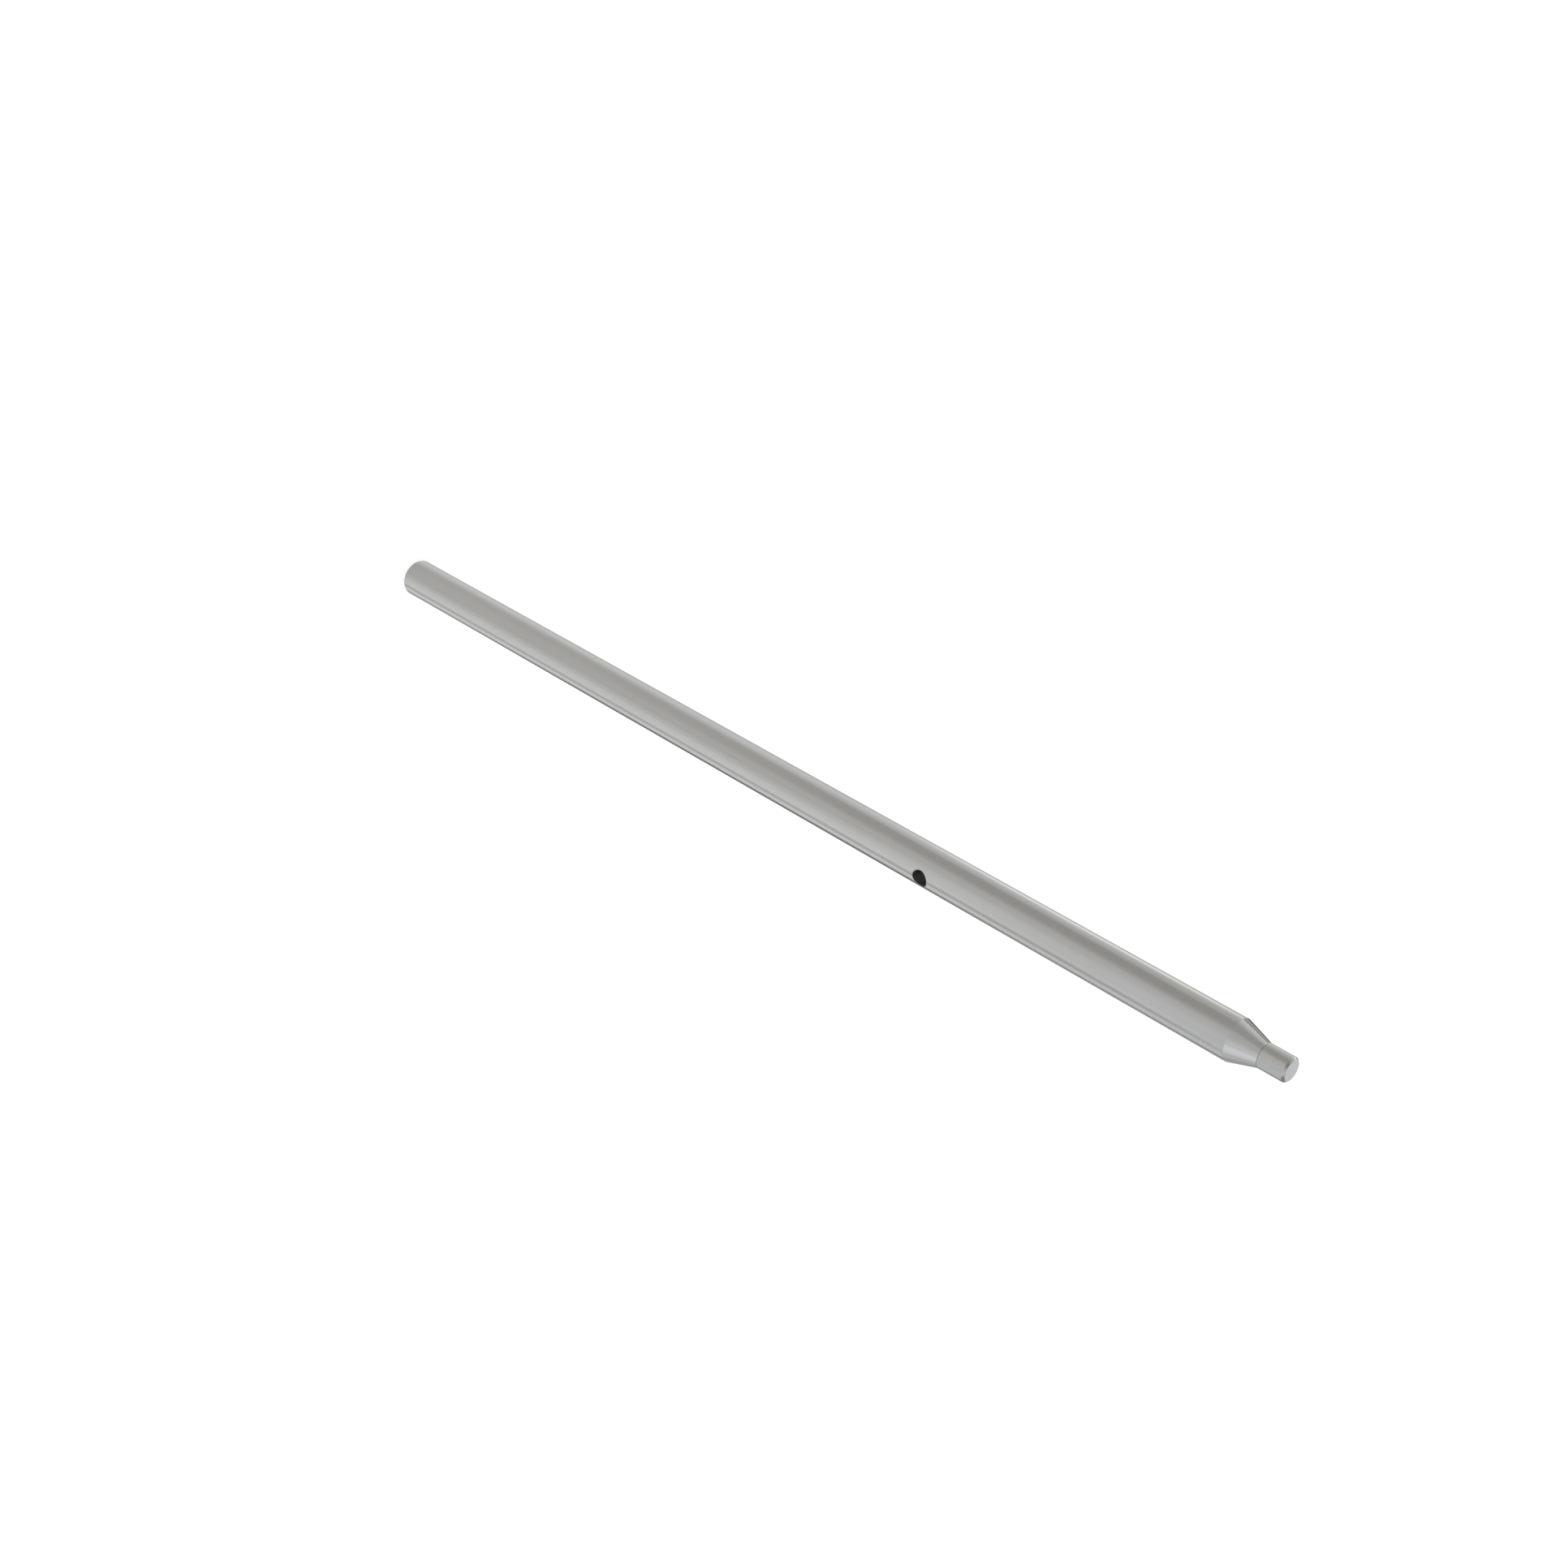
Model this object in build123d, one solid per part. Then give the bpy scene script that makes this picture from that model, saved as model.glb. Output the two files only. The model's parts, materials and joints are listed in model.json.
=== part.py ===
"""Optical post: one turned steel rod with a tapered nose, a plain spigot and a cross hole.

The post stands on its foot. The origin is the centre of the foot's flat end, and +Z runs
along the axis towards the spigot. The cross hole runs along Y. All sizes are in millimetres.
"""

import os

from build123d import *

# Lengths along the axis
post_length = 350.0
nose_length = 8.0
spigot_length = 8.0

# Turned diameters
shank_diameter = 12.0
spigot_diameter = 7.0

# Edges broken at 45 degrees
foot_chamfer = 0.5
spigot_chamfer = 0.6

# The hole drilled across the shank, which takes a turning bar
cross_hole_diameter = 5.0
cross_hole_below_tip = 116.5

# Heights above the foot
spigot_seat_height = post_length - spigot_length
shoulder_height = spigot_seat_height - nose_length
cross_hole_height = post_length - cross_hole_below_tip


def turned_blank():
    """The rod as it leaves the lathe: half its section, turned about the Z axis."""
    shank_radius = shank_diameter / 2
    spigot_radius = spigot_diameter / 2
    with BuildPart() as blank:
        with BuildSketch(Plane.XZ):
            with BuildLine():
                Polyline(
                    (0, 0),
                    (shank_radius, 0),
                    (shank_radius, shoulder_height),
                    (spigot_radius, spigot_seat_height),
                    (spigot_radius, post_length),
                    (0, post_length),
                    close=True,
                )
            make_face()
        revolve(axis=Axis.Z)
        ends = blank.edges().filter_by(GeomType.CIRCLE).sort_by(Axis.Z)
        chamfer(ends.first, foot_chamfer)
        chamfer(ends.last, spigot_chamfer)
    return blank.part


def drilled_post():
    """The turned rod with the cross hole drilled right through its shank, square to the axis."""
    with BuildPart() as drilled:
        add(turned_blank())
        with Locations(Location((0, 0, cross_hole_height), (90, 0, 0))):
            Hole(radius=cross_hole_diameter / 2)
    return drilled.part


os.makedirs("parts", exist_ok=True)
export_step(drilled_post(), "parts/post.step")
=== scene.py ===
import json
import math

import bpy
from mathutils import Matrix, Vector


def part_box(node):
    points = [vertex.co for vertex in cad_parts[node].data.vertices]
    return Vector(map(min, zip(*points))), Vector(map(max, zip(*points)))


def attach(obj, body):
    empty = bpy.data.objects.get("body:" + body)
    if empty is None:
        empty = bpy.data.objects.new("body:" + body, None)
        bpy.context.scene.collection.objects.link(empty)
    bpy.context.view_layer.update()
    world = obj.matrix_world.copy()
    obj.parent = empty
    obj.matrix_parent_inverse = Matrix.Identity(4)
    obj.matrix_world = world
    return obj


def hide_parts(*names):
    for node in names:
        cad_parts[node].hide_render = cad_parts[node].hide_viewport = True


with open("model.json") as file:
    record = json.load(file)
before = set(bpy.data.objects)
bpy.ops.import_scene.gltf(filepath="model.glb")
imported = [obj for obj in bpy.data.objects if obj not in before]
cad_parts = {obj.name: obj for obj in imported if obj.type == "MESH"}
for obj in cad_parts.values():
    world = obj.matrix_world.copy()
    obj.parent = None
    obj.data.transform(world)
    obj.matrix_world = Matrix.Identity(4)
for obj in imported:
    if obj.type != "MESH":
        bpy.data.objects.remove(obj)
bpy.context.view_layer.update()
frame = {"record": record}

# The post's sizes in metres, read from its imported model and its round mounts
mm_per_m = 1000
mounts = {mount["name"]: mount for mount in frame["record"]["mounts"]}


def turned_length(name):
    """The lower and upper height of a round mount's wall, and its radius."""
    mount = mounts[name]
    middle = mount["pos_m"][2]
    half = mount["dims"]["length_mm"] / mm_per_m / 2
    return middle - half, middle + half, mount["dims"]["r_mm"] / mm_per_m


tip_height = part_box("post")[1][2]
foot_edge_height, shoulder_height, shank_radius = turned_length("shank")
spigot_seat_height, spigot_edge_height, spigot_radius = turned_length("spigot")
hole_height = mounts["cross_hole"]["pos_m"][2]
hole_radius = mounts["cross_hole"]["dims"]["r_mm"] / mm_per_m

# The flat faces of both ends, inside their 45 degree chamfers
foot_face_radius = shank_radius - foot_edge_height
tip_face_radius = spigot_radius - (tip_height - spigot_edge_height)

# Fine forms that only the eye needs: rounds on the turned edges, and a relief at the spigot's seat
broken_edge = 0.00010
round_steps = 4
guard_gap = 0.00015
relief_width = 0.00022
relief_depth = 0.00006
relief_top_height = spigot_seat_height + relief_width

# How finely the post is divided round its axis, round its hole and along its shank
post_sides = 256
hole_sides = 96
ring_spacing = 0.006
ring_spacing_near_hole = 0.0004
reach_near_hole = hole_radius * 1.25

# The drill's length, the shortest edge that is kept, and the least turn of a sharp edge
drill_length = shank_radius * 3
join_distance = 0.000001
sharp_angle = math.radians(20)

# The tools' marks and the tone's slow drift: pitch and depth, and lumps of noise to the metre
lay_pitch = 0.00008
lay_depth = 0.0000008
lay_slant = 0.6
lay_lumps = 200.0
drill_pitch = 0.00018
drill_lumps = 300.0
drift_lumps = 260.0
drift_lumps_along = 70.0
noise_middle = 0.5

# How wide the worn edges are and the painted shade round the hole's mouth, and how deep an end's finish goes
worn_width = 0.00018
painted_mouth_shade_width = 0.00010
flat_end_depth = 0.00002

# The steel's darker and lighter tone, and how far each mark or place moves it to the lighter one
darker_steel = (0.542, 0.542, 0.532, 1.0)
lighter_steel = (0.558, 0.558, 0.548, 1.0)
marks_tone = 0.5
drift_tone = 0.5
worn_tone = 0.6
nose_tone = 0.05

# Painted shade: the dark colour that the bore and the thin rim round its mouth take, and how far the relief
# at the spigot's seat goes to it
painted_hollow_shade = (0.26, 0.26, 0.26, 1.0)
relief_painted_shade = 0.62

# The shank's roughness, and what each mark or place adds to it, or takes away where it is worn
shank_roughness = 0.12
bore_roughness = 0.35
end_roughness = 0.05
nose_roughness = 0.01
worn_polish = 0.02
marks_roughness = 0.05
drift_roughness = 0.03

# The camera, as the photograph was taken
camera_azimuth = math.radians(-46.38)
camera_elevation = math.radians(36.95)
camera_roll = math.radians(119.47)
camera_distance = 0.6473
camera_lens_mm = 51.91
camera_sensor_mm = 36.0
camera_clip_start = 0.01
aim = Vector((0.0, 0.0, tip_height / 2))

# The floor, white in the light that falls on it and its own glow together
floor_half = 3.0
floor_colour = (0.30, 0.30, 0.30, 1.0)
floor_glow = 0.76
white = (1.0, 1.0, 1.0, 1.0)

# Soft cards that the steel mirrors before the studio's white surroundings, with angles in degrees
surroundings = (0.92, 0.92, 0.91)
studio_cards = {
    "left": dict(middle=-84, half=26, fade=46, low=-90, high=90, rise=5, tint=(0.72, 0.71, 0.695)),
    "low left": dict(middle=-24, half=6, fade=20, low=-90, high=-37, rise=7, tint=(0.87, 0.87, 0.86)),
    "dark left": dict(middle=-98, half=8, fade=31, low=-33, high=-12, rise=14, tint=(0.80, 0.79, 0.78)),
    "soft left": dict(middle=-119, half=16, fade=36, low=-28, high=-12, rise=12, tint=(0.87, 0.87, 0.87)),
    "upper left": dict(middle=-97, half=6, fade=26, low=-6, high=40, rise=10, tint=(0.74, 0.74, 0.73)),
    "low far left": dict(middle=-118, half=14, fade=24, low=-90, high=-43, rise=5, tint=(0.95, 0.95, 0.95)),
    "middle": dict(middle=-4, half=10, fade=18, low=-90, high=-20, rise=4, tint=(0.95, 0.95, 0.95)),
    "light strip": dict(middle=14, half=48, fade=42, low=-27, high=-24.2, rise=0.9, tint=(1.09, 1.10, 1.10)),
    "front": dict(middle=28, half=34, fade=50, low=-22, high=0, rise=14, tint=(0.78, 0.79, 0.81)),
    "nose": dict(middle=22, half=8, fade=20, low=3, high=18, rise=6, tint=(1.27, 1.29, 1.36)),
    "cool left": dict(middle=-38, half=24, fade=36, low=2, high=30, rise=6, tint=(0.965, 0.98, 0.99)),
    "right nose": dict(middle=105, half=17, fade=25, low=-20, high=8, rise=4, tint=(0.625, 0.64, 0.66)),
    "nose edge": dict(middle=118, half=10, fade=16, low=-20, high=-8, rise=2, tint=(0.85, 0.85, 0.85)),
    "gap": dict(middle=46, half=2, fade=11, low=-90, high=-25, rise=1, tint=(0.70, 0.70, 0.70)),
    "dark right": dict(middle=104, half=6, fade=22, low=-90, high=-22, rise=4, tint=(0.44, 0.44, 0.44)),
    "low right": dict(middle=106, half=8, fade=24, low=-41.7, high=-34, rise=5, tint=(0.60, 0.60, 0.60)),
    "far": dict(middle=150, half=16, fade=24, low=-90, high=10, rise=8, tint=(0.67, 0.67, 0.66)),
    "back": dict(middle=-156, half=6, fade=20, low=-90, high=-18, rise=5, tint=(0.92, 0.92, 0.92)),
    "thin back": dict(middle=-150, half=5, fade=14, low=-26, high=-21, rise=1.5, tint=(0.91, 0.91, 0.90)),
    "lamp": dict(middle=-178, half=4, fade=12, low=-31, high=-25.7, rise=3.5, tint=(1.46, 1.46, 1.46)),
    "dark far": dict(middle=150, half=20, fade=8, low=-20.5, high=-7, rise=1.5, tint=(0.31, 0.31, 0.31)),
    "dark back": dict(middle=-165, half=3, fade=7, low=-14, high=-1, rise=3, tint=(0.45, 0.45, 0.45)),
    "dim back": dict(middle=-177, half=4, fade=8, low=-18, high=-4, rise=3, tint=(0.80, 0.80, 0.79)),
    "dim ceiling": dict(middle=-90, half=80, fade=100, low=34, high=90, rise=8, tint=(0.70, 0.72, 0.71)),
    "green ceiling": dict(middle=-86, half=8, fade=30, low=40, high=90, rise=10, tint=(0.69, 0.73, 0.71)),
    "dark ceiling": dict(middle=85, half=6, fade=43, low=9, high=90, rise=6, tint=(0.34, 0.36, 0.36)),
    "high lamp": dict(middle=172, half=8, fade=14, low=13, high=19, rise=6, tint=(1.50, 1.50, 1.50)),
    "cool": dict(middle=134, half=12, fade=16, low=17, high=30, rise=6, tint=(0.94, 0.97, 1.00)),
}

# Guards against a fade of no width, and against dividing by nothing straight up and down
straight_up = 90
card_edge_margin = 1e-3
least_level_length = 1e-4


class Number:
    """A node's output that takes part in Python sums."""

    def __init__(self, maker, socket):
        self.maker = maker
        self.socket = socket

    def result(self, operation, *others):
        values = dict(enumerate((self, *others)))
        return self.maker.number("ShaderNodeMath", {"operation": operation}, values)

    def __add__(self, other):
        return self.result("ADD", other)

    def __sub__(self, other):
        return self.result("SUBTRACT", other)

    def __mul__(self, other):
        return self.result("MULTIPLY", other)

    def __truediv__(self, other):
        return self.result("DIVIDE", other)

    def __rsub__(self, other):
        return (self * -1.0) + other

    __radd__ = __add__
    __rmul__ = __mul__

    def root(self):
        return self.result("SQRT")

    def least(self, other):
        return self.result("MINIMUM", other)

    def most(self, other):
        return self.result("MAXIMUM", other)

    def rise(self, low, high):
        """0 below low and 1 above high, with a smooth step between."""
        values = {"Value": self, "From Min": low, "From Max": high, "To Min": 0.0, "To Max": 1.0}
        return self.maker.number("ShaderNodeMapRange", {"interpolation_type": "SMOOTHSTEP"}, values)


class Maker:
    """Makes and links the nodes of one tree."""

    def __init__(self, tree):
        self.tree = tree
        tree.nodes.clear()

    def node(self, kind, settings=None, inputs=None):
        made = self.tree.nodes.new(kind)
        for name, value in (settings or {}).items():
            setattr(made, name, value)
        for place, value in (inputs or {}).items():
            socket = made.inputs[place]
            if isinstance(value, Number):
                value = value.socket
            if isinstance(value, bpy.types.NodeSocket):
                self.tree.links.new(value, socket)
            else:
                socket.default_value = value
        return made

    def number(self, kind, settings=None, inputs=None):
        return Number(self, self.node(kind, settings, inputs).outputs[0])

    def apart(self, vector):
        """The three numbers of a vector."""
        along = self.node("ShaderNodeSeparateXYZ", inputs={0: vector})
        return [Number(self, output) for output in along.outputs]

    def mixed_colour(self, share, first, second, blend="MIX"):
        """The second colour over the first, as far as the share goes.

        Among the sockets of a mix, 6 and 7 are its two colours, and 2 is the colour that it gives.
        """
        settings = {"data_type": "RGBA", "blend_type": blend}
        return self.node("ShaderNodeMix", settings, {0: share, 6: first, 7: second}).outputs[2]

    def noise(self, place, detail):
        """Soft noise about its middle, one unit of place for each lump."""
        joined = self.node("ShaderNodeCombineXYZ", inputs=dict(enumerate(place)))
        return self.number("ShaderNodeTexNoise", {"noise_dimensions": "3D"}, {
            "Vector": joined.outputs[0],
            "Scale": 1.0,
            "Detail": detail,
        })


def aimed_camera():
    """The camera that looks down on the post, rolled so that the post lies across the picture."""
    cosine = math.cos(camera_elevation)
    back = Vector((
        cosine * math.sin(camera_azimuth),
        -cosine * math.cos(camera_azimuth),
        math.sin(camera_elevation),
    ))
    level = Vector((math.cos(camera_azimuth), math.sin(camera_azimuth), 0.0))
    upright = back.cross(level)
    right = math.cos(camera_roll) * level + math.sin(camera_roll) * upright
    up = back.cross(right)
    turned = Matrix((right, up, back)).transposed().to_4x4()
    data = bpy.data.cameras.new("camera")
    data.sensor_width = camera_sensor_mm
    data.lens = camera_lens_mm
    data.clip_start = camera_clip_start
    camera = bpy.data.objects.new("camera", data)
    camera.matrix_world = Matrix.Translation(aim + back * camera_distance) @ turned
    bpy.context.scene.collection.objects.link(camera)
    bpy.context.scene.camera = camera


def card_window(card, across, height):
    """Where a card shows: 1 in its middle, 0 beside it and soft at its edges.

    A card has its middle and half width round the post, with azimuth 0 at -Y and 90 at +X, and its
    lowest and highest elevation. Its sides fade out over fade, and its bottom and top over rise.
    """
    low = card["low"]
    high = card["high"]
    rise = card["rise"]
    wide = math.cos(math.radians(card["half"] + card["fade"]))
    narrow = math.cos(math.radians(card["half"]))
    below_it = math.sin(math.radians(max(low - rise, -straight_up))) - card_edge_margin
    above_it = math.sin(math.radians(min(high + rise, straight_up))) + card_edge_margin
    risen = height.rise(below_it, math.sin(math.radians(low)))
    over = height.rise(math.sin(math.radians(high)), above_it)
    return across.rise(wide, narrow) * risen * (1.0 - over)


def studio_light():
    """White surroundings for the camera, with soft cards before them for mirrored rays."""
    world = bpy.data.worlds.new("studio")
    bpy.context.scene.world = world
    world.use_nodes = True
    make = Maker(world.node_tree)
    x, y, z = make.apart(make.node("ShaderNodeTexCoord").outputs["Generated"])
    level_length = (x * x + y * y).root().most(least_level_length)
    colour = (*surroundings, 1.0)
    for card in studio_cards.values():
        middle = math.radians(card["middle"])
        across = (x * math.sin(middle) - y * math.cos(middle)) / level_length
        window = card_window(card, across, z)
        colour = make.mixed_colour(window, colour, (*card["tint"], 1.0), blend="MULTIPLY")
    light = make.node("ShaderNodeLightPath").outputs
    mirrored = Number(make, light["Is Glossy Ray"]).most(Number(make, light["Is Transmission Ray"]))
    plain = make.node("ShaderNodeBackground", inputs={"Color": white, "Strength": 1.0})
    cards = make.node("ShaderNodeBackground", inputs={"Color": colour, "Strength": 1.0})
    mixed = make.node("ShaderNodeMixShader", inputs={
        0: mirrored,
        1: plain.outputs[0],
        2: cards.outputs[0],
    })
    make.node("ShaderNodeOutputWorld", inputs={"Surface": mixed.outputs[0]})


def floor_finish():
    """White card that keeps a soft shadow, and lets mirrored and shadow rays past."""
    material = bpy.data.materials.new("floor_white")
    material.use_nodes = True
    make = Maker(material.node_tree)
    card = make.node("ShaderNodeBsdfDiffuse", inputs={"Color": floor_colour})
    glow = make.node("ShaderNodeEmission", inputs={"Color": white, "Strength": floor_glow})
    lit = make.node("ShaderNodeAddShader", inputs={0: card.outputs[0], 1: glow.outputs[0]})
    clear = make.node("ShaderNodeBsdfTransparent")
    light = make.node("ShaderNodeLightPath").outputs
    passing = Number(make, light["Is Glossy Ray"]).most(Number(make, light["Is Shadow Ray"]))
    mixed = make.node("ShaderNodeMixShader", inputs={
        0: passing,
        1: lit.outputs[0],
        2: clear.outputs[0],
    })
    make.node("ShaderNodeOutputMaterial", inputs={"Surface": mixed.outputs[0]})
    return material


def plain_floor():
    """The pale floor that the post stands on."""
    half = floor_half
    corners = [(-half, -half, 0.0), (half, -half, 0.0), (half, half, 0.0), (-half, half, 0.0)]
    mesh = bpy.data.meshes.new("floor")
    mesh.from_pydata(corners, [], [(0, 1, 2, 3)])
    mesh.materials.append(floor_finish())
    floor = bpy.data.objects.new("floor", mesh)
    bpy.context.scene.collection.objects.link(floor)


def turned_edges():
    """Radius and height of each edge that the lathe leaves, from the foot up to the tip."""
    return [
        (foot_face_radius, 0.0),
        (shank_radius, foot_edge_height),
        (shank_radius, shoulder_height),
        (spigot_radius, spigot_edge_height),
        (tip_face_radius, tip_height),
    ]


def near_edge(out_from_axis, z, radius, height):
    """1 on a turned edge and 0 a short way from it."""
    aside = out_from_axis - radius
    along = z - height
    return 1.0 - (aside * aside + along * along).root().rise(0.0, worn_width)


def steel_finish():
    """Ground and turned steel: a fine lay round the axis, drill marks in a bore darkened with painted shade,
    painted shade round the hole's mouth and in the seat's relief, and worn edges.
    """
    material = bpy.data.materials.new("turned_steel")
    material.use_nodes = True
    make = Maker(material.node_tree)
    x, y, z = make.apart(make.node("ShaderNodeTexCoord").outputs["Object"])
    out_from_axis = (x * x + y * y).root()

    height_from_bore = z - hole_height
    out_from_bore = (x * x + height_from_bore * height_from_bore).root()
    # Painted shade: the bore and a thin rim round its mouth are darkened in colour; the bore's rougher
    # drilled finish and its drill marks are real
    bore_and_painted_shade = 1.0 - out_from_bore.rise(hole_radius + painted_mouth_shade_width, hole_radius + painted_mouth_shade_width * 2)
    above_seat = z.rise(spigot_seat_height, spigot_seat_height + relief_depth)
    # Painted shade: the relief at the spigot's seat goes part way to the dark colour of the bore
    in_relief_painted_shade = above_seat * (1.0 - z.rise(relief_top_height - relief_depth, relief_top_height))
    above_shank = z.rise(shoulder_height - worn_width, shoulder_height + worn_width)
    on_ends = 1.0 - z.rise(0.0, flat_end_depth) * (1.0 - z.rise(tip_height - flat_end_depth, tip_height))

    worn = 0.0
    for radius, height in turned_edges():
        worn = near_edge(out_from_axis, z, radius, height) + worn
    worn = worn.least(1.0)

    slanted = z + out_from_axis * lay_slant
    lay = make.noise((x * lay_lumps, y * lay_lumps, slanted / lay_pitch), detail=2.0)
    feed = make.noise((x * drill_lumps, z * drill_lumps, y / drill_pitch), detail=1.0)
    drift = make.noise((x * drift_lumps, y * drift_lumps, z * drift_lumps_along), detail=3.0)
    marks = lay + bore_and_painted_shade * (feed - lay)

    tone = marks * marks_tone + drift * drift_tone + worn * worn_tone + above_shank * nose_tone
    pale = make.mixed_colour(tone.least(1.0), darker_steel, lighter_steel)
    # Painted shade darkens the colour in the bore, on the thin rim round its mouth and in the seat's relief
    colour = make.mixed_colour(bore_and_painted_shade.most(in_relief_painted_shade * relief_painted_shade), pale, painted_hollow_shade)
    of_places = bore_and_painted_shade * bore_roughness + on_ends * end_roughness + above_shank * nose_roughness
    of_marks = (marks - noise_middle) * marks_roughness + (drift - noise_middle) * drift_roughness
    roughness = of_places - worn * worn_polish + of_marks + shank_roughness
    ridges = make.node("ShaderNodeBump", inputs={
        "Strength": 1.0,
        "Distance": lay_depth,
        "Height": marks + bore_and_painted_shade * marks,
    })
    shader = make.node("ShaderNodeBsdfPrincipled", inputs={
        "Base Color": colour,
        "Metallic": 1.0,
        "Roughness": roughness,
        "Normal": ridges.outputs[0],
    })
    make.node("ShaderNodeOutputMaterial", inputs={"Surface": shader.outputs[0]})
    return material


def rounded(corners):
    """The corners of a section with each inner one rounded, and a guard point on each side."""
    points = [corners[0]]
    for before, corner, after in zip(corners, corners[1:], corners[2:]):
        here = Vector(corner)
        back = (Vector(before) - here).normalized()
        ahead = (Vector(after) - here).normalized()
        half_turn = (math.pi - back.angle(ahead)) / 2
        reach = broken_edge * math.tan(half_turn)
        centre = here + (back + ahead).normalized() * (broken_edge / math.cos(half_turn))
        start = here + back * reach
        end = here + ahead * reach
        points.append(here + back * (reach + guard_gap))
        for step in range(round_steps + 1):
            chord = start.lerp(end, step / round_steps) - centre
            points.append(centre + chord.normalized() * broken_edge)
        points.append(here + ahead * (reach + guard_gap))
    points.append(corners[-1])
    return [Vector(point) for point in points]


def turned_section():
    """Radius and height of each ring of the post, from the foot's face up to the tip's."""
    relief_floor_radius = spigot_radius - relief_depth
    outline = rounded([
        (0.0, 0.0),
        (foot_face_radius, 0.0),
        (shank_radius, foot_edge_height),
        (shank_radius, shoulder_height),
        (spigot_radius, spigot_seat_height),
    ])
    outline += [
        Vector((relief_floor_radius, spigot_seat_height + relief_depth)),
        Vector((relief_floor_radius, relief_top_height - relief_depth)),
    ]
    outline += rounded([
        (spigot_radius, relief_top_height),
        (spigot_radius, spigot_edge_height),
        (tip_face_radius, tip_height),
        (0.0, tip_height),
    ])
    return outline[1:-1]


def with_shank_rings(outline):
    """The section with more rings along the shank, close together beside the cross hole."""
    lower = hole_height - reach_near_hole
    upper = hole_height + reach_near_hole
    below = [ring for ring in outline if ring[1] < hole_height]
    above = [ring for ring in outline if ring[1] > hole_height]
    stretches = [
        (below[-1][1], lower, ring_spacing),
        (lower, upper, ring_spacing_near_hole),
        (upper, above[0][1], ring_spacing),
    ]
    heights = []
    for low, high, spacing in stretches:
        count = max(1, round((high - low) / spacing))
        heights += [low + (high - low) * step / count for step in range(count)]
    return below + [Vector((shank_radius, height)) for height in heights[1:]] + above


def turned_solid(make, given):
    """A circle swept along the line, as wide at each ring as the ring says."""
    line = make.node("GeometryNodeMeshToCurve", inputs={0: given["Line"]})
    radius = make.node("GeometryNodeInputNamedAttribute", {"data_type": "FLOAT"}, {
        "Name": "ring_radius",
    })
    circle = make.node("GeometryNodeCurvePrimitiveCircle", inputs={
        "Resolution": given["Sides"],
        "Radius": 1.0,
    })
    turned = make.node("GeometryNodeCurveToMesh", inputs={
        "Curve": line.outputs[0],
        "Profile Curve": circle.outputs[0],
        "Scale": radius.outputs[0],
        "Fill Caps": True,
    })
    return turned.outputs[0]


def cross_drilled(make, given, solid):
    """The solid with a hole drilled through it along Y, and the drill's shortest edges joined."""
    drill = make.node("GeometryNodeMeshCylinder", inputs={
        "Vertices": given["Hole Sides"],
        "Radius": given["Hole Radius"],
        "Depth": given["Drill Length"],
    })
    height = make.node("ShaderNodeCombineXYZ", inputs={"Z": given["Hole Height"]})
    placed = make.node("GeometryNodeTransform", inputs={
        "Geometry": drill.outputs[0],
        "Translation": height.outputs[0],
        "Rotation": (math.pi / 2, 0.0, 0.0),
    })
    drilled = make.node("GeometryNodeMeshBoolean", {"operation": "DIFFERENCE", "solver": "EXACT"}, {
        "Mesh 1": solid,
        "Mesh 2": placed.outputs[0],
    })
    joined = make.node("GeometryNodeMergeByDistance", inputs={
        "Geometry": drilled.outputs[0],
        "Distance": given["Join Distance"],
    })
    return joined.outputs[0]


def smooth_between_edges(make, given, solid):
    """The solid shaded smooth, apart from the edges that turn by more than the given angle."""
    smooth = make.node("GeometryNodeSetShadeSmooth", {"domain": "FACE"}, {"Geometry": solid})
    angle = make.node("GeometryNodeInputMeshEdgeAngle")
    sharp = make.node("FunctionNodeCompare", {"data_type": "FLOAT", "operation": "GREATER_THAN"}, {
        0: angle.outputs["Unsigned Angle"],
        1: given["Sharp Angle"],
    })
    edged = make.node("GeometryNodeSetShadeSmooth", {"domain": "EDGE"}, {
        "Geometry": smooth.outputs[0],
        "Selection": sharp.outputs[0],
        "Shade Smooth": False,
    })
    return edged.outputs[0]


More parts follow.
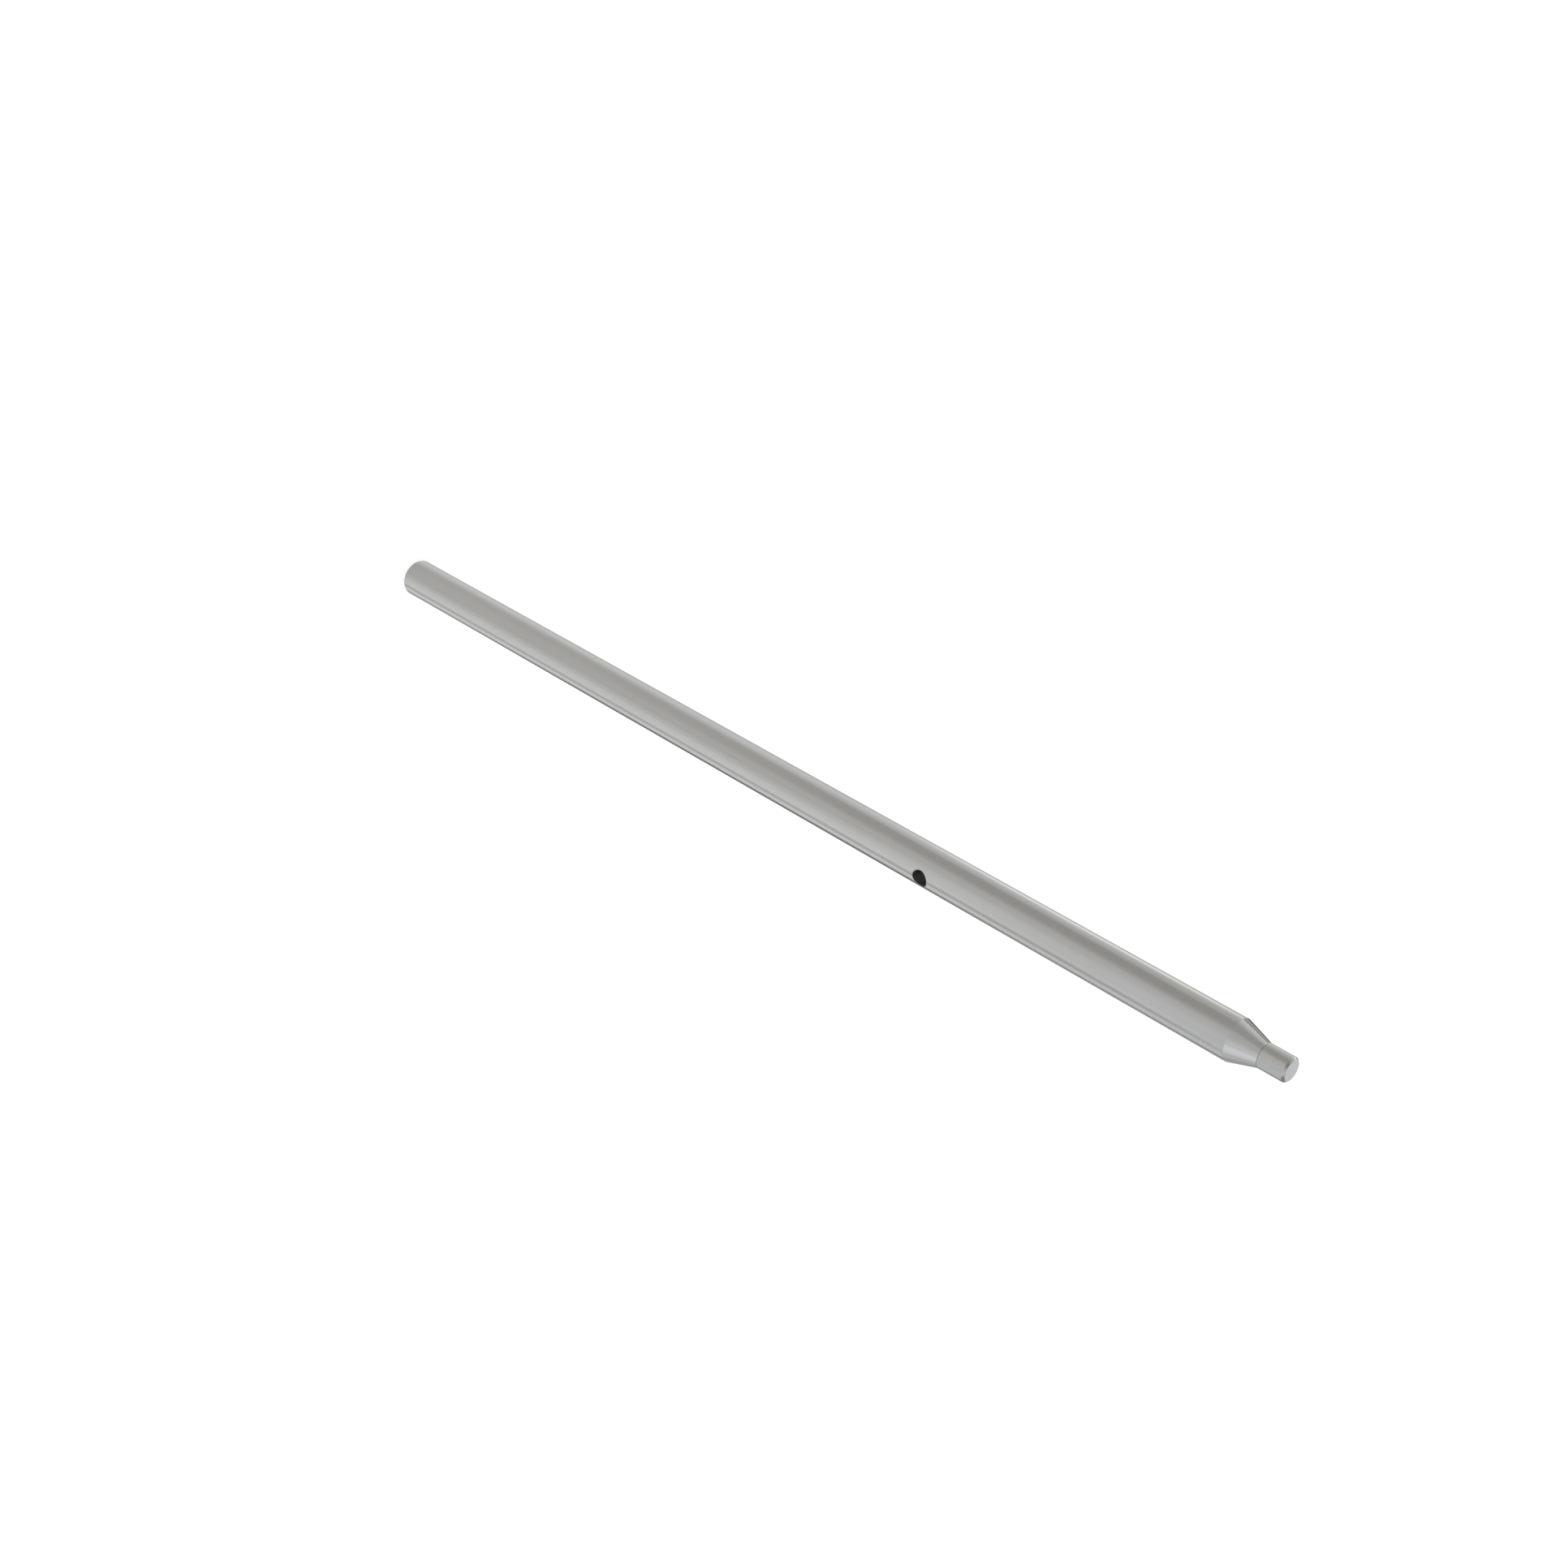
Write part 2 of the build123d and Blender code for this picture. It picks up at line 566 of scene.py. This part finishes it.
def lathe_tree(finish):
    """Turns a line of rings into the post, drills its cross hole and gives it its finish."""
    tree = bpy.data.node_groups.new("turned_post", "GeometryNodeTree")
    make = Maker(tree)
    wanted = {
        "Sides": ("NodeSocketInt", post_sides),
        "Hole Height": ("NodeSocketFloat", hole_height),
        "Hole Radius": ("NodeSocketFloat", hole_radius),
        "Hole Sides": ("NodeSocketInt", hole_sides),
        "Drill Length": ("NodeSocketFloat", drill_length),
        "Join Distance": ("NodeSocketFloat", join_distance),
        "Sharp Angle": ("NodeSocketFloat", sharp_angle),
        "Finish": ("NodeSocketMaterial", finish),
    }
    face = tree.interface
    face.new_socket("Line", in_out="INPUT", socket_type="NodeSocketGeometry")
    face.new_socket("Post", in_out="OUTPUT", socket_type="NodeSocketGeometry")
    for name, (kind, _) in wanted.items():
        face.new_socket(name, in_out="INPUT", socket_type=kind)
    given = make.node("NodeGroupInput").outputs
    drilled = cross_drilled(make, given, turned_solid(make, given))
    edged = smooth_between_edges(make, given, drilled)
    whole = make.node("GeometryNodeRealizeInstances", inputs={0: edged})
    finished = make.node("GeometryNodeSetMaterial", inputs={
        "Geometry": whole.outputs[0],
        "Material": given["Finish"],
    })
    make.node("NodeGroupOutput", inputs={0: finished.outputs[0]})
    values = {
        item.identifier: wanted[item.name][1]
        for item in face.items_tree
        if item.in_out == "INPUT" and item.name in wanted
    }
    return tree, values


def line_of_rings():
    """A line of points up the post's axis, each with the radius of its ring."""
    rings = with_shank_rings(turned_section())
    points = [(0.0, 0.0, height) for _, height in rings]
    edges = [(upper - 1, upper) for upper in range(1, len(rings))]
    line = bpy.data.meshes.new("post_rings")
    line.from_pydata(points, edges, [])
    radii = line.attributes.new("ring_radius", "FLOAT", "POINT")
    radii.data.foreach_set("value", [radius for radius, _ in rings])
    return line


def steel_post():
    """The post itself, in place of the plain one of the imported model."""
    finish = steel_finish()
    tree, values = lathe_tree(finish)
    stock = bpy.data.objects.new("post_stock", line_of_rings())
    bpy.context.scene.collection.objects.link(stock)
    lathe = stock.modifiers.new("lathe", "NODES")
    lathe.node_group = tree
    for identifier, value in values.items():
        lathe[identifier] = value
    stock.update_tag()
    evaluated = stock.evaluated_get(bpy.context.evaluated_depsgraph_get())
    mesh = bpy.data.meshes.new_from_object(evaluated)
    mesh.name = "turned_post"
    mesh.materials.clear()
    mesh.materials.append(finish)
    bpy.data.objects.remove(stock)
    post = bpy.data.objects.new("turned_post", mesh)
    bpy.context.scene.collection.objects.link(post)
    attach(post, "root")
    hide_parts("post")


aimed_camera()
studio_light()
plain_floor()
steel_post()

bpy.context.scene.view_settings.view_transform = "Standard"
